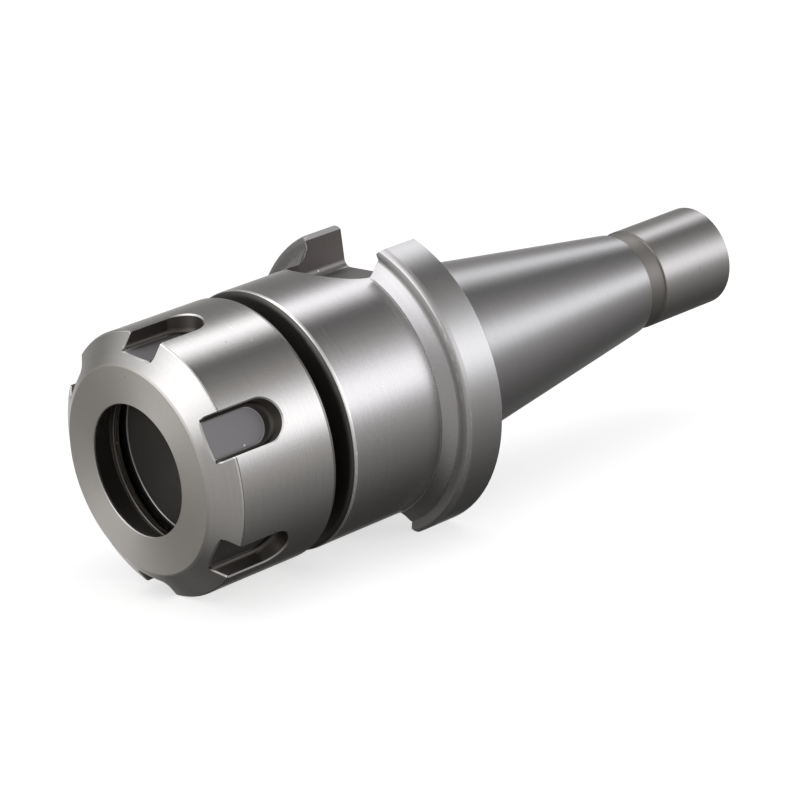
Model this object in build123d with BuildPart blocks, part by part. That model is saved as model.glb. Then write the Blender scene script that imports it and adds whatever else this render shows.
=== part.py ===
from build123d import *
import math
import os

os.makedirs("parts", exist_ok=True)

# Collet chuck holder with a steep taper No. 30 shank and a slotted clamping nut.
# Lengths in millimetres. Y runs along the tool axis, with the pilot at +Y and the nut at -Y.
# The origin is on the axis in the gauge plane of the taper, and +Z points up through a drive slot.

# Shank: 7:24 taper, neck, and cylindrical pilot behind it
gauge_d = 31.75
taper_ratio = 7 / 24
taper_len = 48.9
taper_edge = 0.1
neck_r = 8.18
neck_len = 3.6
pilot_r = 8.47
pilot_len = 15.9
pilot_lead = 0.12
pilot_chamfer = 0.3

# Drawbar hole in the pilot's end: centring recess, M12 thread at its major diameter, drilled hole below
drawbar_r = 6.0
drawbar_thread_len = 24.0
recess_step = 0.25
recess_depth = 5.5
drill_r = 5.1
drill_depth = 34.0
drill_half_angle = 59.0

# Collet seat, 8 degrees each side, and the clearance bore behind it
seat_r = 13.0
seat_angle = 8.0
seat_len = 29.0
seat_break = 0.12
bore_r = 8.75
bore_len = 15.05

# Threaded nose, M32 x 1.5 drawn near its pitch diameter
nose_wall = 2.48
nose_len = 16.05
nose_chamfer = 0.9
undercut_depth = 0.73
undercut_w = 2.0

# Clamping nut: thread, extraction lip, 30 degree seat, hole, front chamfer
thread_clearance = 0.06
nut_thread_len = 11.0
relief_step = 0.76
nut_wall = 4.7
nut_gap = 3.3
lip_gap = 1.6
lip_w = 1.15
lip_step = 0.05
lip_offset = 0.4
lip_break = 0.12
groove_step = 0.4
groove_w = 0.2
nut_seat_angle = 30.0
nut_hole_r = 10.45
nut_hole_break = 0.12
nut_land = 0.27
nut_chamfer_w = 4.65
nut_chamfer_len = 3.25
nut_edge = 0.22
nut_back_bevel = 0.5
nut_back_step = 0.15
nut_mouth_chamfer = 1.0

# Spanner slots in the nut
nut_slots = 6
nut_slot_w = 6.8
nut_slot_depth = 2.9
nut_slot_run = 10.0
nut_slot_corner = 0.8
nut_slot_break = 0.25
nut_slot_first = 22.5

# Flange with its profiled front, body and drive slots
flange_offset = 1.4
flange_w = 6.7
flange_rise = 4.0
flange_edge = 0.4
bead_h = 0.9
bead_w = 1.05
valley_w = 0.85
valley_h = 0.25
ridge_w = 0.3
ridge_h = 1.0
band_len = 1.58
band_sag = 0.04
band_land = 0.22
band_step = 0.07
body_len = 27.6
body_fillet = 1.0
slot_w = 17.0
slot_floor = 16.4
slot_run = 7.76
slot_corner = 1.25
slot_bevel = 0.95

# Places that follow from the sizes
shank_end = taper_len + neck_len + pilot_len
flange_back = -flange_offset
flange_front = flange_back - flange_w
body_front = flange_back - body_len
nose_end = body_front - nose_len
nose_r = seat_r + nose_wall
undercut_r = nose_r - undercut_depth
nut_thread_r = nose_r + thread_clearance
nut_relief_r = nut_thread_r + relief_step
nut_r = nut_relief_r + nut_wall
nut_back = body_front - nut_gap
nut_thread_end = nut_back - nut_thread_len
lip_r = seat_r - lip_step
lip_back = nose_end - lip_gap
lip_front = lip_back - lip_w
groove_r = seat_r + groove_step
cone_back = lip_front - groove_w
cone_front = cone_back - (groove_r - nut_hole_r) / math.tan(math.radians(nut_seat_angle))
nut_face = cone_front - nut_land - nut_hole_break
nut_chamfer_y = nut_face + nut_chamfer_len
nut_slot_floor = nut_r - nut_slot_depth
nut_slot_centre = nut_face + nut_slot_run
body_r = nut_r
flange_r = body_r + flange_rise
slot_centre = flange_back - slot_run


def taper_r(y):
    return (gauge_d - y * taper_ratio) / 2


def drill_tip(r):
    return r / math.tan(math.radians(drill_half_angle))


# The chuck's body is one turned, hardened and ground piece, from the pilot to the threaded nose
bead_y = flange_front - bead_h
valley_r = flange_r - bead_w - valley_w
band_r = valley_r - ridge_w
band_y = flange_front - ridge_h
band_end = band_y - band_len
land_r = body_r + band_step
land_end = band_end - band_land
band_chord = math.hypot(band_r - land_r, band_len)
band_mid = (
    (band_r + land_r) / 2 - band_sag * band_len / band_chord,
    (band_y + band_end) / 2 + band_sag * (band_r - land_r) / band_chord,
)
with BuildPart() as chuck_body:
    with BuildSketch(Plane.XY):
        with BuildLine():
            Polyline(
                (0, shank_end),
                (pilot_r - pilot_chamfer, shank_end),
                (pilot_r, shank_end - pilot_chamfer),
                (pilot_r, taper_len + neck_len + pilot_lead),
                (neck_r, taper_len + neck_len),
                (neck_r, taper_len),
                (taper_r(taper_len) - taper_edge, taper_len),
                (taper_r(taper_len - taper_edge), taper_len - taper_edge),
                (taper_r(flange_back), flange_back),
                (flange_r - flange_edge, flange_back),
                (flange_r, flange_back - flange_edge),
                (flange_r, flange_front),
            )
            # rounded front corner of the rim, a shallow groove, a sloping band and a thin land
            RadiusArc((flange_r, flange_front), (flange_r - bead_h, bead_y), bead_h)
            Polyline(
                (flange_r - bead_h, bead_y),
                (flange_r - bead_w, bead_y),
                (valley_r, bead_y + valley_h),
                (band_r, band_y),
            )
            ThreePointArc((band_r, band_y), band_mid, (land_r, band_end))
            Polyline(
                (land_r, band_end),
                (land_r, land_end),
                (body_r, land_end),
                (body_r, body_front + body_fillet),
            )
            RadiusArc(
                (body_r, body_front + body_fillet), (body_r - body_fillet, body_front), body_fillet
            )
            Polyline(
                (body_r - body_fillet, body_front),
                (undercut_r + 0.4, body_front),
                (undercut_r, body_front - 0.4),
                (undercut_r, body_front - undercut_w + 0.5),
                (nose_r, body_front - undercut_w - 0.3),
                (nose_r, nose_end + nose_chamfer),
                (nose_r - nose_chamfer, nose_end),
                (0, nose_end),
                (0, shank_end),
            )
        make_face()
    revolve(axis=Axis.Y)

    # collet seat and clearance bore, with a small edge break at the mouth and a drilled bottom
    tan_seat = math.tan(math.radians(seat_angle))
    seat_back = nose_end + seat_len
    bore_end = seat_back + bore_len
    with BuildSketch(Plane.XY):
        with BuildLine():
            Polyline(
                (0, nose_end),
                (seat_r + seat_break, nose_end),
                (seat_r - seat_break * tan_seat, nose_end + seat_break),
                (seat_r - seat_len * tan_seat, seat_back),
                (bore_r, seat_back + 0.3),
                (bore_r, bore_end),
                (0, bore_end + drill_tip(bore_r)),
                (0, nose_end),
            )
        make_face()
    revolve(axis=Axis.Y, mode=Mode.SUBTRACT)

    # drawbar hole
    recess_r = drawbar_r + recess_step
    recess_end = shank_end - recess_depth
    thread_end = recess_end - drawbar_thread_len
    drill_end = shank_end - drill_depth
    with BuildSketch(Plane.XY):
        with BuildLine():
            Polyline(
                (0, shank_end),
                (recess_r + 0.5, shank_end),
                (recess_r, shank_end - 0.5),
                (recess_r, recess_end),
                (drawbar_r, recess_end),
                (drawbar_r, thread_end),
                (drill_r, thread_end - (drawbar_r - drill_r)),
                (drill_r, drill_end),
                (0, drill_end - drill_tip(drill_r)),
                (0, shank_end),
            )
        make_face()
    revolve(axis=Axis.Y, mode=Mode.SUBTRACT)

    # two drive slots, milled with a cutter as wide as the slot, so that their front ends are half round
    with BuildPart(mode=Mode.PRIVATE) as drive_cutter:
        with BuildSketch(Plane.XY.offset(slot_floor)):
            with Locations((0, (slot_centre + 6) / 2)):
                Rectangle(slot_w, 6 - slot_centre)
            with Locations((0, slot_centre)):
                Circle(slot_w / 2)
        extrude(amount=flange_r + 3 - slot_floor)
        fillet(drive_cutter.faces().sort_by(Axis.Z)[0].edges(), slot_corner)
    add(drive_cutter.part, mode=Mode.SUBTRACT)
    add(drive_cutter.part.rotate(Axis.Y, 180), mode=Mode.SUBTRACT)

    # the edges of the slots on the rim are bevelled, and the bevel runs out on the rounded corner
    edge_angle = math.acos(slot_w / 2 / flange_r)
    rim_angle = edge_angle - slot_bevel / flange_r
    foot_x, foot_z = slot_w / 2, flange_r * math.sin(edge_angle) - slot_bevel
    rim_x, rim_z = flange_r * math.cos(rim_angle), flange_r * math.sin(rim_angle)
    run_x, run_z = rim_x - foot_x, rim_z - foot_z
    with BuildPart(mode=Mode.PRIVATE) as bevel_cutter:
        with BuildSketch(Plane.XZ.offset(-1)):
            with BuildLine():
                Polyline(
                    (foot_x - run_x / 2, foot_z - run_z / 2),
                    (rim_x + run_x, rim_z + run_z),
                    (rim_x + run_x, flange_r + 2),
                    (foot_x - run_x / 2, flange_r + 2),
                    (foot_x - run_x / 2, foot_z - run_z / 2),
                )
            make_face()
        extrude(amount=1 - bead_y)
    for bevel in (bevel_cutter.part, bevel_cutter.part.mirror(Plane.YZ)):
        add(bevel, mode=Mode.SUBTRACT)
        add(bevel.rotate(Axis.Y, 180), mode=Mode.SUBTRACT)

chuck_body.part.label = "chuck_body"

# The clamping nut: slotted round nut with a conical seat and an eccentric extraction lip inside
with BuildPart() as clamping_nut:
    lip_blank_r = lip_r - lip_offset - 0.5
    with BuildSketch(Plane.XY):
        with BuildLine():
            Polyline(
                (nut_hole_r + nut_hole_break, nut_face),
                (nut_r - nut_chamfer_w, nut_face),
                (nut_r - nut_edge, nut_chamfer_y - nut_edge * 0.7),
                (nut_r, nut_chamfer_y + nut_edge * 0.8),
                (nut_r, nut_back - nut_back_bevel),
                (nut_r - nut_back_step, nut_back),
                (nut_thread_r + nut_mouth_chamfer, nut_back),
                (nut_thread_r, nut_back - nut_mouth_chamfer),
                (nut_thread_r, nut_thread_end),
                (nut_relief_r, nut_thread_end - 0.6),
                (nut_relief_r, lip_back),
                (lip_blank_r, lip_back),
                (lip_blank_r, lip_front),
                (groove_r, lip_front),
                (groove_r, cone_back),
                (nut_hole_r, cone_front),
                (nut_hole_r, nut_face + nut_hole_break),
                (nut_hole_r + nut_hole_break, nut_face),
            )
        make_face()
    revolve(axis=Axis.Y)

    # the lip's bore is turned off centre, with both its edges broken
    with BuildSketch(Plane.XY):
        with BuildLine():
            Polyline(
                (0, lip_front - 0.1),
                (lip_r + lip_break, lip_front - 0.1),
                (lip_r + lip_break, lip_front),
                (lip_r, lip_front + lip_break),
                (lip_r, lip_back - lip_break),
                (lip_r + lip_break, lip_back),
                (lip_r + lip_break, lip_back + 0.1),
                (0, lip_back + 0.1),
                (0, lip_front - 0.1),
            )
        make_face()
    lip_core = revolve(axis=Axis.Y, mode=Mode.PRIVATE)
    add(lip_core.moved(Location((0, 0, -lip_offset))), mode=Mode.SUBTRACT)

    # spanner slots, open at the front chamfer and round at the back
    with BuildPart(mode=Mode.PRIVATE) as nut_cutter:
        with BuildSketch(Plane.XY.offset(nut_slot_floor)):
            with Locations((0, nut_slot_centre - nut_slot_run)):
                Rectangle(nut_slot_w, 2 * nut_slot_run)
            with Locations((0, nut_slot_centre)):
                Circle(nut_slot_w / 2)
        extrude(amount=nut_slot_depth + 3)
        fillet(nut_cutter.faces().sort_by(Axis.Z)[0].edges(), nut_slot_corner)
    for k in range(nut_slots):
        angle = nut_slot_first - 90 + 360 * k / nut_slots
        add(nut_cutter.part.rotate(Axis.Y, -angle), mode=Mode.SUBTRACT)

    # edge break all round each slot, along the outer cylinder and down the front chamfer
    wall_foot_r = math.hypot(nut_slot_w / 2, nut_slot_floor + nut_slot_corner)
    slot_edges = []
    for edge in clamping_nut.edges():
        points = [edge @ 0, edge @ 0.5, edge @ 1]
        radii = sorted(math.hypot(p.X, p.Z) for p in points)
        ys = sorted(p.Y for p in points)
        run = ys[2] - ys[0]
        if ys[0] > nut_slot_centre + nut_slot_w or edge.geom_type == GeomType.CIRCLE or run < 0.05:
            continue
        on_cylinder = radii[0] > nut_r - 0.01 and run > 2 and ys[2] < nut_back - 2
        on_chamfer = radii[2] > nut_r - nut_edge - 0.1 and wall_foot_r - 0.05 < radii[0] < nut_r - 1
        on_edge = radii[2] > nut_r - 0.01 and abs(radii[0] - nut_r + nut_edge) < 0.01
        if on_cylinder or on_chamfer or (on_edge and edge.geom_type != GeomType.LINE):
            slot_edges.append(edge)
    chamfer(slot_edges, length=nut_slot_break)

clamping_nut.part.label = "clamping_nut"

export_step(chuck_body.part, "parts/chuck_body.step")
export_step(clamping_nut.part, "parts/clamping_nut.step")
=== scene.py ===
import math

import bpy
from mathutils import Matrix, Vector


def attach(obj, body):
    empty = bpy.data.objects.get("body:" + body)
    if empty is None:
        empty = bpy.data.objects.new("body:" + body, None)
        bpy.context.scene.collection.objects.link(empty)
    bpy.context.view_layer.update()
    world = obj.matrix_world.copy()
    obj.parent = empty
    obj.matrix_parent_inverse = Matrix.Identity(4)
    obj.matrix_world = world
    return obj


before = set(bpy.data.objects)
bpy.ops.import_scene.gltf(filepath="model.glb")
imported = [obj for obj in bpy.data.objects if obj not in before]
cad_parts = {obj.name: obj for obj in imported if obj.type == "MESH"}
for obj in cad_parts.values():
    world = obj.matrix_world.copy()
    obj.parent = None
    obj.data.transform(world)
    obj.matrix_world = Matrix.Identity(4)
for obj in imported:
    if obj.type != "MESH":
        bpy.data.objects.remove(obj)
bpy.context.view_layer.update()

# Chuck body: pilot, 7:24 taper, flange, cylindrical body and threaded nose are one piece of case-hardened
# alloy steel. It is turned from bar, the two drive slots are milled, and after hardening the taper, pilot,
# body and flange are ground, so that the marks run around the axis. The nose keeps its oil, and is darker
# with painted shade in the gap behind the nut. The seat and the bore carry painted shade, and the seat a
# painted reflection towards its middle.


def linear(hex_colour, alpha=1.0):
    """An sRGB hex colour as linear RGBA."""
    levels = [int(hex_colour[i:i + 2], 16) / 255 for i in (1, 3, 5)]
    return [v / 12.92 if v <= 0.04045 else ((v + 0.055) / 1.055) ** 2.4 for v in levels] + [alpha]


def node(tree, kind, inputs=(), stops=(), **settings):
    """Adds one node, sets its settings and colour stops, and fills or links its inputs."""
    made = tree.nodes.new(kind)
    for name, value in settings.items():
        setattr(made, name, value)
    for position, colour in stops[1:-1]:
        made.color_ramp.elements.new(position).color = colour
    for end, (position, colour) in zip((0, -1), stops[::max(1, len(stops) - 1)]):
        made.color_ramp.elements[end].position = position
        made.color_ramp.elements[end].color = colour
    for key, value in dict(inputs).items():
        if isinstance(value, bpy.types.NodeSocket):
            tree.links.new(value, made.inputs[key])
        else:
            made.inputs[key].default_value = value
    return made


def empty_material(name):
    """A material with nothing in it but its output."""
    made = bpy.data.materials.new(name)
    made.use_nodes = True
    made.node_tree.nodes.clear()
    return made


def from_the_axis(tree):
    """A point's place in mm, what of it lies across the tool axis, and its distance from the axis."""
    place = node(tree, "ShaderNodeTexCoord").outputs["Object"]
    place = node(tree, "ShaderNodeVectorMath", {0: place, "Scale": 1000.0}, operation="SCALE").outputs[0]
    across = node(tree, "ShaderNodeVectorMath", {0: place, 1: (1.0, 0.0, 1.0)},
                  operation="MULTIPLY").outputs[0]
    radius = node(tree, "ShaderNodeVectorMath", {0: across}, operation="LENGTH").outputs["Value"]
    return place, across, radius


def tones_along(tree, along, tones, blend):
    """Colour and roughness along the axis, from rows of the place in mm, colour and roughness.

    The ramp's alpha carries the roughness. A renderer holds a ramp as 256 steps, and a row begins at the
    first step past its place."""
    first, last = tones[0][0], tones[-1][0]
    share = node(tree, "ShaderNodeMapRange", {"Value": along, "From Min": first,
                                              "From Max": last}).outputs[0]
    ramp = node(tree, "ShaderNodeValToRGB", {0: share},
                stops=[((start - first) / (last - first), linear(tone, roughness))
                       for start, tone, roughness in tones])
    ramp.color_ramp.interpolation = blend
    return ramp.outputs["Color"], ramp.outputs["Alpha"]


def covered(tree, where, below, above):
    """One surface's colour and roughness, and another's instead where the mask is 1."""
    # a mixing node's sockets 6 and 7 are its colours, 2 and 3 its numbers
    colour = node(tree, "ShaderNodeMix", {0: where, 6: below[0], 7: above[0]}, data_type="RGBA").outputs[2]
    rough = node(tree, "ShaderNodeMix", {0: where, 2: below[1], 3: above[1]}).outputs[0]
    return colour, rough


def from_slot_middle(tree, sideways, past_end):
    """How far a point is from a slot's middle line, which ends in the centre of its half-round end."""
    past_end = node(tree, "ShaderNodeMath", {0: past_end, 1: 0.0}, operation="MAXIMUM").outputs[0]
    reach = node(tree, "ShaderNodeCombineXYZ", {0: sideways, 1: past_end}).outputs[0]
    return node(tree, "ShaderNodeVectorMath", {0: reach}, operation="LENGTH").outputs["Value"]


def in_slot(tree, reach, half_width, height, floor):
    """1 on a milled slot's walls and floor, and 0 elsewhere."""
    between = node(tree, "ShaderNodeMath", {0: reach, 1: half_width}, operation="LESS_THAN").outputs[0]
    above = node(tree, "ShaderNodeMath", {0: height, 1: floor}, operation="GREATER_THAN").outputs[0]
    return node(tree, "ShaderNodeMath", {0: between, 1: above}, operation="MULTIPLY").outputs[0]


def nicks(tree, place, per_mm, size, darkest, lightest):
    """Nicks that handling leaves, spread at random: where they are, and how light each one is.

    Their size is given as a share of their spacing."""
    spread = node(tree, "ShaderNodeTexVoronoi", {"Vector": place, "Scale": per_mm})
    nick = node(tree, "ShaderNodeMath", {0: spread.outputs["Distance"], 1: size},
                operation="LESS_THAN").outputs[0]
    tone = node(tree, "ShaderNodeSeparateColor", {0: spread.outputs["Color"]}).outputs[0]
    tone = node(tree, "ShaderNodeMapRange", {"Value": tone, "To Min": darkest,
                                             "To Max": lightest}).outputs[0]
    return nick, tone


def machined_steel(tree, place, across, colour, rough, milled, anisotropy):
    """Ends a steel's material: marks that run around the axis, normals without the seam, and the shader."""
    # turning and grinding marks: real ones are a few hundredths of a millimetre apart and 0.001 mm deep, here
    # 0.3 mm apart and 0.004 mm deep so that they show, with a fine grain over them
    marks_per_mm = (0.1, 3.4, 0.1)
    grain_per_mm = 2.6
    relief = 0.000004
    lowest, highest = 0.6, 1.4
    darker, lighter = 0.95, 1.05
    marks = node(tree, "ShaderNodeVectorMath", {0: place, 1: marks_per_mm}, operation="MULTIPLY").outputs[0]
    marks = node(tree, "ShaderNodeTexNoise", {"Vector": marks, "Scale": 1.0, "Detail": 3.0}).outputs[0]
    grain = node(tree, "ShaderNodeTexNoise", {"Vector": place, "Scale": grain_per_mm,
                                              "Detail": 2.0}).outputs[0]
    both = node(tree, "ShaderNodeMath", {0: marks, 1: grain}, operation="ADD").outputs[0]
    shade = node(tree, "ShaderNodeMapRange", {"Value": both, "From Min": lowest, "From Max": highest,
                                              "To Min": darker, "To Max": lighter}).outputs[0]
    colour = node(tree, "ShaderNodeVectorMath", {0: colour, "Scale": shade}, operation="SCALE").outputs[0]
    rough = node(tree, "ShaderNodeMath", {0: rough, 1: shade}, operation="MULTIPLY").outputs[0]
    # a round surface's normal has no part around the axis: what the mesh's seam leaves there is taken out,
    # but a slot's walls keep theirs
    seam_lean = 0.06
    outwards = node(tree, "ShaderNodeVectorMath", {0: across}, operation="NORMALIZE").outputs[0]
    around = node(tree, "ShaderNodeVectorMath", {0: outwards, 1: (0.0, 1.0, 0.0)},
                  operation="CROSS_PRODUCT").outputs[0]
    normal = node(tree, "ShaderNodeTexCoord").outputs["Normal"]
    lean = node(tree, "ShaderNodeVectorMath", {0: normal, 1: around},
                operation="DOT_PRODUCT").outputs["Value"]
    small = node(tree, "ShaderNodeMath", {0: lean, 1: 0.0, 2: seam_lean}, operation="COMPARE").outputs[0]
    small = node(tree, "ShaderNodeMath", {0: small, 1: milled}, operation="SUBTRACT",
                 use_clamp=True).outputs[0]
    lean = node(tree, "ShaderNodeMath", {0: lean, 1: small}, operation="MULTIPLY").outputs[0]
    lean = node(tree, "ShaderNodeVectorMath", {0: around, "Scale": lean}, operation="SCALE").outputs[0]
    normal = node(tree, "ShaderNodeVectorMath", {0: normal, 1: lean}, operation="SUBTRACT").outputs[0]
    normal = node(tree, "ShaderNodeVectorTransform", {0: normal}, vector_type="NORMAL",
                  convert_from="OBJECT", convert_to="WORLD").outputs[0]
    normal = node(tree, "ShaderNodeBump", {"Height": both, "Distance": relief,
                                           "Normal": normal}).outputs[0]
    # the marks draw each highlight out along the axis
    tangent = node(tree, "ShaderNodeTangent", direction_type="RADIAL", axis="Y").outputs[0]
    shader = node(tree, "ShaderNodeBsdfPrincipled", {
        "Base Color": colour, "Metallic": 1.0, "Roughness": rough, "Normal": normal,
        "Anisotropic": anisotropy, "Anisotropic Rotation": 0.25, "Tangent": tangent})
    node(tree, "ShaderNodeOutputMaterial", {"Surface": shader.outputs[0]})


# Ground hardened steel: satin, with soft streaks of light along the axis. Each turned surface has its own
# colour and roughness from where it starts along the axis, in mm, and some rows are painted highlight or
# painted shade. The neck is only turned and stays a dull grey. The steps along the body are half a
# millimetre, too coarse for a finer painted highlight than the one behind its front edge.
outside = [(-60.0, "#5c5957", 0.45),    # threaded nose and the body's front, dark with oil and with painted shade in the gap behind the nut
           (-28.52, "#f4f3f3", 0.34),   # painted highlight behind the body's front edge
           (-28.01, "#c7c5c6", 0.26),   # body
           (-10.75, "#b8b6b7", 0.28),   # hollow band
           (-8.72, "#c2c0c0", 0.44),    # bead round the rim's corner
           (-7.7, "#c4c3c4", 0.30),     # flange rim
           (-1.61, "#c4c3c4", 0.36),    # rim's rear edge and the flange's rear face
           (-1.1, "#c5c4c6", 0.29),     # taper
           (49.17, "#95928f", 0.56),    # neck
           (52.73, "#bdbbbb", 0.34),    # pilot
           (70.0, "#bdbbbb", 0.34)]
inside = [(-60.0, "#c8c5c1", 0.30),     # mouth's broken edge
          (-44.97, "#c8c5c1", 0.30),
          (-44.95, "#8a8886", 0.46),    # collet seat: painted shade, lifted by a painted reflection towards its middle
          (-42.0, "#a09e9b", 0.46),
          (-36.0, "#cfcdca", 0.46),
          (-24.0, "#d6d4d1", 0.46),
          (-16.0, "#8a8785", 0.42),     # bore and drawbar hole: painted shade, darker deeper in
          (20.0, "#6b6865", 0.40),
          (70.0, "#6b6865", 0.40)]
ground_steel = empty_material("Ground_Hardened_Steel")
tree = ground_steel.node_tree
place, across, radius = from_the_axis(tree)
at = node(tree, "ShaderNodeSeparateXYZ", {0: place}).outputs
# the seat, the bore and the drawbar hole lie within a cone that never touches the outside
mouth, mouth_limit = -45.0, 13.6
pilot_end, pilot_end_limit = 68.0, 6.95
limit = node(tree, "ShaderNodeMapRange", {"Value": at["Y"], "From Min": mouth, "From Max": pilot_end,
                                          "To Min": mouth_limit, "To Max": pilot_end_limit}).outputs[0]
within = node(tree, "ShaderNodeMath", {0: radius, 1: limit}, operation="LESS_THAN").outputs[0]
surface = covered(tree, within, tones_along(tree, at["Y"], outside, "CONSTANT"),
                  tones_along(tree, at["Y"], inside, "LINEAR"))
# the groove in the flange's front, between the hollow band and the rim's round corner, stays dull
groove_radius, groove_half_height = 23.76, 0.84
groove_place, groove_half_depth = -8.95, 0.25
by_radius = node(tree, "ShaderNodeMath", {0: radius, 1: groove_radius, 2: groove_half_height},
                 operation="COMPARE").outputs[0]
by_place = node(tree, "ShaderNodeMath", {0: at["Y"], 1: groove_place, 2: groove_half_depth},
                operation="COMPARE").outputs[0]
groove = node(tree, "ShaderNodeMath", {0: by_radius, 1: by_place}, operation="MULTIPLY").outputs[0]
surface = covered(tree, groove, surface, (linear("#aaa8a6"), 0.62))
# milled drive slots: 17 mm wide with a half-round end, duller and darker than the ground surfaces
drive_half_width, drive_floor, drive_end = 8.53, 16.3, -9.16
drive_floor_tone_to, drive_wall_tone_from = 16.45, 17.7
side = node(tree, "ShaderNodeMath", {0: at["X"]}, operation="ABSOLUTE").outputs[0]
height = node(tree, "ShaderNodeMath", {0: at["Z"]}, operation="ABSOLUTE").outputs[0]
past_end = node(tree, "ShaderNodeMath", {0: drive_end, 1: at["Y"]}, operation="SUBTRACT").outputs[0]
milled = in_slot(tree, from_slot_middle(tree, side, past_end), drive_half_width, height, drive_floor)
wall = node(tree, "ShaderNodeMapRange", {"Value": height, "From Min": drive_floor_tone_to,
                                         "From Max": drive_wall_tone_from}).outputs[0]
slot_tone = node(tree, "ShaderNodeMix", {0: wall, 6: linear("#a5a3a2"), 7: linear("#777270")},
                 data_type="RGBA").outputs[2]
colour, rough = covered(tree, milled, surface, (slot_tone, 0.46))
# nicks of 0.2 mm, light and dark, some 4 mm apart, but none in the gap behind the nut
body_front = -28.0
nick, nick_tone = nicks(tree, place, per_mm=0.25, size=0.035, darkest=0.06, lightest=0.8)
clear = node(tree, "ShaderNodeMath", {0: at["Y"], 1: body_front}, operation="GREATER_THAN").outputs[0]
nick = node(tree, "ShaderNodeMath", {0: nick, 1: clear}, operation="MULTIPLY").outputs[0]
colour = node(tree, "ShaderNodeMix", {0: nick, 6: colour, 7: nick_tone}, data_type="RGBA").outputs[2]
machined_steel(tree, place, across, colour, rough, milled, anisotropy=0.5)
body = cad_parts["chuck_body"]
body.data.materials.clear()
body.data.materials.append(ground_steel)

# Threads: the M12 x 1.75 drawbar thread is tapped behind a plain recess, and the M32 x 1.5 nose thread runs
# out behind the nut. Both are cut in the body itself, so they are the same steel.
# Each ridge is a triangle wound around the axis, 1.5 times as high as its circle's radius.
for thread, crest, deep, pitch, first, angle, rounds, steps in (
        ("Drawbar_Thread", 0.00515, 0.00603, 0.00175, 0.0397, math.tau, 13, 40),
        ("Nose_Thread", 0.01595, 0.01546, 0.0015, -0.03198, math.radians(150), 1, 60)):
    size = (deep - crest) / 1.5
    bpy.ops.object.select_all(action="DESELECT")
    bpy.ops.mesh.primitive_circle_add(vertices=3, radius=1.0, fill_type="NOTHING",
                                      rotation=(0.0, 0.0, math.radians(90)))
    ridge = bpy.context.object
    ridge.name = thread
    bpy.ops.object.transform_apply(rotation=True)
    ridge.scale = (size, abs(size), 1.0)
    ridge.location = (crest + size, first, 0.0)
    bpy.ops.object.transform_apply(location=True, scale=True)
    screw = ridge.modifiers.new("Screw", "SCREW")
    screw.axis = "Y"
    screw.angle = angle
    screw.iterations = rounds
    screw.screw_offset = pitch * angle / math.tau
    screw.steps = screw.render_steps = steps
    bpy.ops.object.modifier_apply(modifier="Screw")
    bpy.ops.object.mode_set(mode="EDIT")
    bpy.ops.mesh.select_all(action="SELECT")
    bpy.ops.mesh.remove_doubles(threshold=1e-7)
    bpy.ops.mesh.select_all(action="DESELECT")
    bpy.ops.mesh.select_non_manifold()
    bpy.ops.mesh.edge_face_add()
    bpy.ops.mesh.select_all(action="SELECT")
    bpy.ops.mesh.normals_make_consistent(inside=False)
    bpy.ops.object.mode_set(mode="OBJECT")
    ridge.data.materials.append(ground_steel)
    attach(ridge, "chuck")

# Burr: the cutter that milled the drive slot left a torn edge along the flange's front profile on the far
# wall, which carries a painted highlight. It is a thread of steel a fifth of a millimetre thick.
# Its path lies in the slot's wall: places along the axis and heights in mm, from the rim down to the body.
path = [(-8.45, 23.42), (-8.62, 23.2), (-8.86, 22.9), (-8.93, 22.4), (-8.74, 21.8), (-8.8, 21.2),
        (-9.2, 20.75), (-9.4, 20.3), (-10.1, 19.5), (-10.6, 19.2), (-11.6, 19.15), (-13.2, 19.22)]
far_wall = -0.0085
burr_radius = 0.00009
start_tilt = math.radians(40)
bpy.ops.object.select_all(action="DESELECT")
bpy.ops.mesh.primitive_circle_add(vertices=5, radius=burr_radius, fill_type="NGON",
                                  location=(far_wall, path[0][0] / 1000, path[0][1] / 1000),
                                  rotation=(start_tilt, 0.0, 0.0))
burr = bpy.context.object
burr.name = "Slot_Burr"
bpy.ops.object.transform_apply()
bpy.ops.object.mode_set(mode="EDIT")
for here, there in zip(path, path[1:]):
    bpy.ops.mesh.extrude_region_move(TRANSFORM_OT_translate={
        "value": (0.0, (there[0] - here[0]) / 1000, (there[1] - here[1]) / 1000)})
bpy.ops.mesh.select_all(action="SELECT")
bpy.ops.mesh.normals_make_consistent(inside=False)
bpy.ops.object.mode_set(mode="OBJECT")
# torn steel edge: rough and painted nearly white, a painted highlight of the light it catches from every
# side, with spots of 0.4 mm
spots_per_metre = 2500.0
torn_steel_highlight = empty_material("Torn_Steel_Edge_Highlight")
tree = torn_steel_highlight.node_tree
metres = node(tree, "ShaderNodeTexCoord").outputs["Object"]
spots = node(tree, "ShaderNodeTexNoise", {"Vector": metres, "Scale": spots_per_metre,
                                          "Detail": 2.0}).outputs[0]
spots = node(tree, "ShaderNodeMapRange", {"Value": spots, "From Min": 0.35, "From Max": 0.65}).outputs[0]
colour = node(tree, "ShaderNodeMix", {0: spots, 6: linear("#c9c6c3"), 7: linear("#fbfaf9")},
              data_type="RGBA").outputs[2]
shader = node(tree, "ShaderNodeBsdfPrincipled", {"Base Color": colour, "Metallic": 0.6, "Roughness": 0.6})
node(tree, "ShaderNodeOutputMaterial", {"Surface": shader.outputs[0]})
burr.data.materials.append(torn_steel_highlight)
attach(burr, "chuck")

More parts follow.
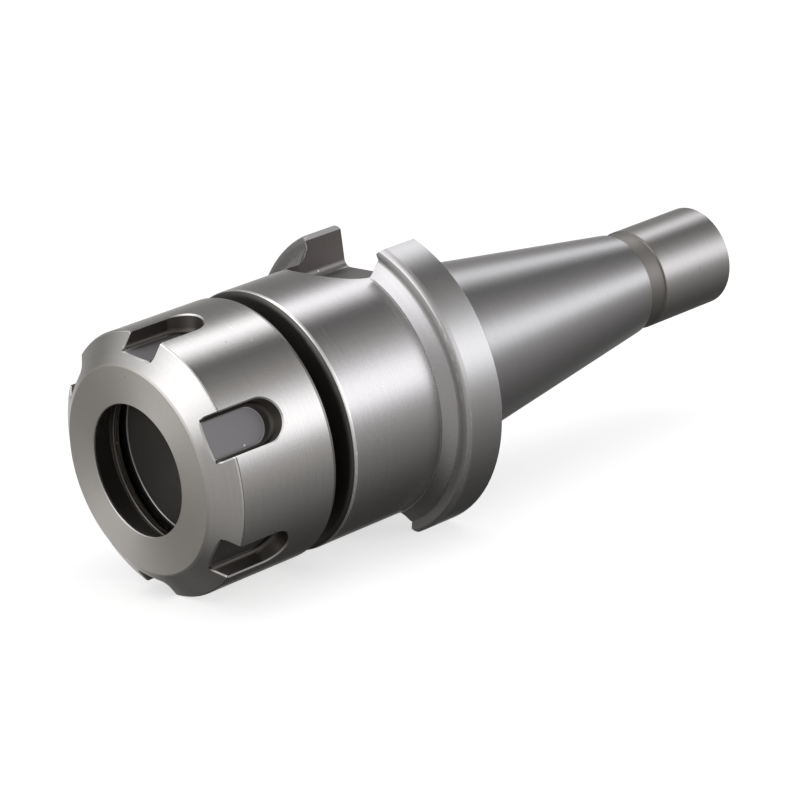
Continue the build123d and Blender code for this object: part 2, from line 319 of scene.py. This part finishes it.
# Clamping nut: a round nut of turned and hardened steel, polished outside, with a 30 degree seat and an
# eccentric lip inside and six milled spanner slots. Its face is finely turned, and the slots and the thread
# are left dull and dark. It screws on the body's nose.
nut_outside = [(-54.0, "#d0cdc9", 0.50),    # front face
               (-53.35, "#cdcbc9", 0.30),   # bevel
               (-50.42, "#f4f3f2", 0.30),   # painted highlight on the bevel's edge
               (-50.3, "#7d7a77", 0.30),    # painted dark reflection behind it
               (-50.14, "#cdcbca", 0.25),   # round outside
               (-32.8, "#a8a5a2", 0.36),    # rear edge and rear face
               (-31.0, "#a8a5a2", 0.36)]
# inside the nut: painted shade deep in, and painted highlights on its edges
nut_inside = [(-54.0, "#dedbd7", 0.25),     # hole's broken edge and land, lighter with a painted highlight
              (-53.07, "#6d6965", 0.36),    # 30 degree seat, darkened with painted shade
              (-48.3, "#dad7d2", 0.26),     # painted highlight on the seat's inner edge
              (-48.05, "#79746f", 0.32),    # groove and the extraction lip's front, darkened with painted shade
              (-47.5, "#c4bfb8", 0.26),     # painted highlight ring in the lip's bore
              (-47.3, "#8f8983", 0.32),     # lip's bore, darkened with painted shade
              (-46.9, "#c8c4be", 0.26),     # lip's rear edge, a painted highlight
              (-46.6, "#4a4743", 0.40),     # relief and thread, dark with oil and with painted shade
              (-31.0, "#4a4743", 0.40)]
# Turned and polished steel: brighter and smoother than the ground body, with longer highlights.
turned_steel = empty_material("Turned_Polished_Steel")
tree = turned_steel.node_tree
place, across, radius = from_the_axis(tree)
at = node(tree, "ShaderNodeSeparateXYZ", {0: place}).outputs
# what lies inside the nut is within a radius that its thread doesn't pass, and behind its face
inner_limit, face_depth = 16.42, -53.4
within = node(tree, "ShaderNodeMath", {0: radius, 1: inner_limit}, operation="LESS_THAN").outputs[0]
deep = node(tree, "ShaderNodeMath", {0: at["Y"], 1: face_depth}, operation="GREATER_THAN").outputs[0]
within = node(tree, "ShaderNodeMath", {0: within, 1: deep}, operation="MULTIPLY").outputs[0]
surface = covered(tree, within, tones_along(tree, at["Y"], nut_outside, "CONSTANT"),
                  tones_along(tree, at["Y"], nut_inside, "CONSTANT"))
# six spanner slots, 6.8 mm wide with a half-round end: every slot is folded on the first
slots, first_slot = 6, math.radians(22.5)
spanner_half_width, spanner_floor, spanner_end = 3.43, 18.05, -43.5
spanner_floor_tone_to, spanner_wall_tone_from = 18.11, 18.3
turn = node(tree, "ShaderNodeMath", {0: at["Z"], 1: at["X"]}, operation="ARCTAN2").outputs[0]
turn = node(tree, "ShaderNodeMath", {0: turn, 1: first_slot}, operation="SUBTRACT").outputs[0]
turn = node(tree, "ShaderNodeMath", {0: turn, 1: math.pi / slots, 2: -math.pi / slots},
            operation="WRAP").outputs[0]
sine = node(tree, "ShaderNodeMath", {0: turn}, operation="SINE").outputs[0]
cosine = node(tree, "ShaderNodeMath", {0: turn}, operation="COSINE").outputs[0]
side = node(tree, "ShaderNodeMath", {0: radius, 1: sine}, operation="MULTIPLY").outputs[0]
side = node(tree, "ShaderNodeMath", {0: side}, operation="ABSOLUTE").outputs[0]
height = node(tree, "ShaderNodeMath", {0: radius, 1: cosine}, operation="MULTIPLY").outputs[0]
past_end = node(tree, "ShaderNodeMath", {0: at["Y"], 1: spanner_end}, operation="SUBTRACT").outputs[0]
milled = in_slot(tree, from_slot_middle(tree, side, past_end), spanner_half_width, height, spanner_floor)
# the flat floor ends 1.3 mm short of the round end: painted shade darkens it along its walls and round end,
# with a fine painted highlight line at its edge
floor_end, floor_inner, floor_outer = -44.5, 2.4, 3.4
past_floor = node(tree, "ShaderNodeMath", {0: at["Y"], 1: floor_end}, operation="SUBTRACT").outputs[0]
foot = node(tree, "ShaderNodeMapRange", {"Value": from_slot_middle(tree, side, past_floor),
                                         "From Min": floor_inner, "From Max": floor_outer}).outputs[0]
# floor: lit middle, then a painted highlight line, then painted shade at the foot of the walls
floor_tone = node(tree, "ShaderNodeValToRGB", {0: foot}, stops=[
    (0.0, linear("#858385")), (0.42, linear("#858385")), (0.46, linear("#a9a7a6")),
    (0.52, linear("#a9a7a6")), (0.58, linear("#3f3c3a")), (1.0, linear("#3f3c3a"))]).outputs["Color"]
wall = node(tree, "ShaderNodeMapRange", {"Value": height, "From Min": spanner_floor_tone_to,
                                         "From Max": spanner_wall_tone_from}).outputs[0]
slot_tone = node(tree, "ShaderNodeMix", {0: wall, 6: floor_tone, 7: linear("#64605c")},
                 data_type="RGBA").outputs[2]
colour, rough = covered(tree, milled, surface, (slot_tone, 0.55))
# nicks of 0.2 mm, light and dark, some 3 mm apart
nick, nick_tone = nicks(tree, place, per_mm=0.33, size=0.045, darkest=0.04, lightest=0.9)
colour = node(tree, "ShaderNodeMix", {0: nick, 6: colour, 7: nick_tone}, data_type="RGBA").outputs[2]
machined_steel(tree, place, across, colour, rough, milled, anisotropy=0.72)
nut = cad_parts["clamping_nut"]
nut.data.materials.clear()
nut.data.materials.append(turned_steel)

# Floor: a plain white sweep that the holder lies on. It touches the lower drive slot's edges and the nut,
# so it rises a little towards the nut.


def seen_as_backdrop(tree):
    """1 for what the camera sees, straight on, mirrored or through glass, and 0 for other light."""
    rays = node(tree, "ShaderNodeLightPath").outputs
    seen = node(tree, "ShaderNodeMath", {0: rays["Is Camera Ray"], 1: rays["Is Glossy Ray"]},
                operation="MAXIMUM").outputs[0]
    return node(tree, "ShaderNodeMath", {0: seen, 1: rays["Is Transmission Ray"]},
                operation="MAXIMUM").outputs[0]


floor_size = 6.0
slope = 0.0514
slot_edge_height, slot_edge_place = -0.02317, -0.0081
bpy.ops.object.select_all(action="DESELECT")
bpy.ops.mesh.primitive_plane_add(size=floor_size, location=(0.0, 0.0, 0.0))
floor = bpy.context.object
floor.name = "Floor"
floor.data.transform(Matrix.Translation((0.0, 0.0, slot_edge_height + slope * slot_edge_place))
                     @ Matrix.Rotation(-math.atan(slope), 4, "X"))
floor.visible_glossy = False
# white paper: matt, and lifted to the backdrop's white where no shadow falls
paper_glow, paper_white = 0.64, (0.9, 0.9, 0.9, 1.0)
white = empty_material("White_Paper")
tree = white.node_tree
level = node(tree, "ShaderNodeMath", {0: seen_as_backdrop(tree), 1: paper_glow}, operation="MULTIPLY")
glow = node(tree, "ShaderNodeEmission", {"Color": (1, 1, 1, 1), "Strength": level.outputs[0]})
matt = node(tree, "ShaderNodeBsdfDiffuse", {"Color": paper_white})
both = node(tree, "ShaderNodeAddShader", {0: glow.outputs[0], 1: matt.outputs[0]})
node(tree, "ShaderNodeOutputMaterial", {"Surface": both.outputs[0]})
floor.data.materials.append(white)

# Light tent: a cloth tent round the holder with two long bright panels, grey cards and a dark table, which
# only the metal sees. Brightness is given in degrees around the tool axis, from +X over the top, for
# directions towards the pilot (side and end), across (middle) and towards the nut (front).
side_cards = [(-180, .45), (-168, .8), (-158, .85), (-147, .52), (-137, .1), (-126, .05), (-106, .053),
              (-84, .075), (-60, .15), (-36, .27), (-24, .39), (-12, .55), (-3, .95), (7, 1.68),
              (18, 1.82), (29, 1.58), (36, 1.14), (48, .6), (60, .34), (72, .2), (82, .12), (89, .22),
              (96, .9), (103, 1.75), (112, 1.9), (119, .86), (126, .34), (139, .24), (156, .25),
              (169, .3), (180, .45)]
end_cards = [(-180, .45), (-168, .85), (-158, .85), (-147, .75), (-132, .6), (-120, .29), (-108, .14),
             (-84, .11), (-60, .15), (-36, .23), (-24, .28), (-12, .41), (-3, .66), (7, 1.06),
             (18, 1.18), (29, .97), (36, .7), (48, .42), (60, .28), (72, .2), (85, .15), (100, .07),
             (110, .09), (118, .38), (125, 1.15), (133, 1.3), (141, .85), (149, .4), (158, .35),
             (169, .4), (180, .45)]
middle_cards = [(-180, .3), (-158, .37), (-134, .12), (-120, .11), (-106, .06), (-80, .07), (-60, .12),
                (-40, .24), (-15, .42), (10, .6), (30, .5), (50, .38), (62, .58), (75, 1.1),
                (88, 1.6), (104, 1.7), (120, 1.35), (140, .95), (152, .7), (157, .52), (166, .29),
                (175, .26), (180, .3)]
front_cards = [(-180, .42), (-150, .42), (-133, .2), (-105, .2), (-85, .32), (-70, .37), (-50, .44),
               (-20, .5), (24, .6), (50, 1.05), (65, 1.5), (85, 2.0), (103, 2.2), (118, 2.1),
               (132, 1.3), (150, .6), (165, .42), (180, .42)]
brightest = 2.5
tent_radius = 3.5
bpy.ops.object.select_all(action="DESELECT")
bpy.ops.mesh.primitive_uv_sphere_add(segments=48, ring_count=24, radius=tent_radius)
tent = bpy.context.object
tent.name = "Light_Tent"
tent.visible_camera = tent.visible_diffuse = tent.visible_shadow = False
# white cloth and grey cards, lit evenly: they only glow
cloth_and_cards = empty_material("Tent_Cloth_And_Cards")
cloth_and_cards.cycles.emission_sampling = "NONE"
tree = cloth_and_cards.node_tree
way = node(tree, "ShaderNodeTexCoord").outputs["Object"]
way = node(tree, "ShaderNodeVectorMath", {0: way}, operation="NORMALIZE").outputs[0]
way = node(tree, "ShaderNodeSeparateXYZ", {0: way}).outputs
turn = node(tree, "ShaderNodeMath", {0: way["Z"], 1: way["X"]}, operation="ARCTAN2").outputs[0]
turn = node(tree, "ShaderNodeMapRange", {"Value": turn, "From Min": -math.pi,
                                         "From Max": math.pi}).outputs[0]
rings = []
for cards in (side_cards, end_cards, middle_cards, front_cards):
    ring = node(tree, "ShaderNodeValToRGB", {0: turn},
                stops=[((degrees + 180.0) / 360.0, (level / brightest,) * 3 + (1.0,))
                       for degrees, level in cards])
    ring.color_ramp.interpolation = "CARDINAL"
    rings.append(ring.outputs["Color"])
# each ring of cards takes over from the one before where the direction's part along the axis passes
# from the first number to the second
level = rings[0]
for ring, before, after in zip(rings[1:], (0.64, 0.3, -0.42), (0.82, -0.2, -0.75)):
    share = node(tree, "ShaderNodeMapRange", {"Value": way["Y"], "From Min": before, "From Max": after},
                 interpolation_type="SMOOTHSTEP").outputs[0]
    level = node(tree, "ShaderNodeMix", {0: share, 6: level, 7: ring}, data_type="RGBA").outputs[2]
# the dark cards and the table are a warm grey, the bright cloth is neutral
warm, neutral = (1.02, 1.0, 0.97, 1.0), (1.0, 1.0, 1.012, 1.0)
bright = node(tree, "ShaderNodeMapRange", {"Value": level, "From Min": 0.16, "From Max": 0.32}).outputs[0]
tint = node(tree, "ShaderNodeMix", {0: bright, 6: warm, 7: neutral}, data_type="RGBA").outputs[2]
level = node(tree, "ShaderNodeVectorMath", {0: level, 1: tint}, operation="MULTIPLY").outputs[0]
glow = node(tree, "ShaderNodeEmission", {"Color": level, "Strength": brightest})
node(tree, "ShaderNodeOutputMaterial", {"Surface": glow.outputs[0]})
tent.data.materials.append(cloth_and_cards)

# Softbox: an area lamp overhead that gives the floor its soft shadow. The metal shows the tent instead.
# It hangs a little towards the pilot and towards +X, and faces the holder.
lamp_distance = 0.9
lamp = bpy.data.lights.new("Top_Softbox", "AREA")
lamp.shape = "RECTANGLE"
lamp.size, lamp.size_y = 0.6, 0.9
lamp.energy = 1.2
softbox = bpy.data.objects.new("Top_Softbox", lamp)
bpy.context.scene.collection.objects.link(softbox)
over = Vector((0.15, 0.2, 1.0)).normalized()
softbox.matrix_world = (Matrix.Translation(over * lamp_distance)
                        @ over.to_track_quat("Z", "Y").to_matrix().to_4x4())
softbox.visible_camera = softbox.visible_glossy = False

# World: the white backdrop for the camera, and a plain level for all else.
# It is even all over, so it isn't sampled as a lamp.
room_level, backdrop_level = 0.4, 1.0
world = bpy.data.worlds.new("White_Backdrop")
bpy.context.scene.world = world
world.use_nodes = True
world.cycles.sampling_method = "NONE"
tree = world.node_tree
tree.nodes.clear()
level = node(tree, "ShaderNodeMapRange", {"Value": seen_as_backdrop(tree), "To Min": room_level,
                                          "To Max": backdrop_level})
backdrop = node(tree, "ShaderNodeBackground", {"Color": (1, 1, 1, 1), "Strength": level.outputs[0]})
node(tree, "ShaderNodeOutputWorld", {"Surface": backdrop.outputs[0]})

# Camera: a long lens from the nut's side, above and a little rolled. Its place and its three directions
# were fitted to the photograph together with the holder's sizes.
focal_length, sensor_width = 153.59, 36.0
stand = Vector((0.39670, -0.33367, 0.15890))
right = Vector((0.66701, 0.73498, -0.12215))
up = Vector((-0.14688, 0.29045, 0.94556))
back = Vector((0.73043, -0.61274, 0.30169))
lens = bpy.data.cameras.new("Camera")
lens.sensor_width = sensor_width
lens.lens = focal_length
camera = bpy.data.objects.new("Camera", lens)
bpy.context.scene.collection.objects.link(camera)
camera.matrix_world = Matrix.Translation(stand) @ Matrix((right, up, back)).transposed().to_4x4()
bpy.context.scene.camera = camera
bpy.context.scene.view_settings.view_transform = "Standard"
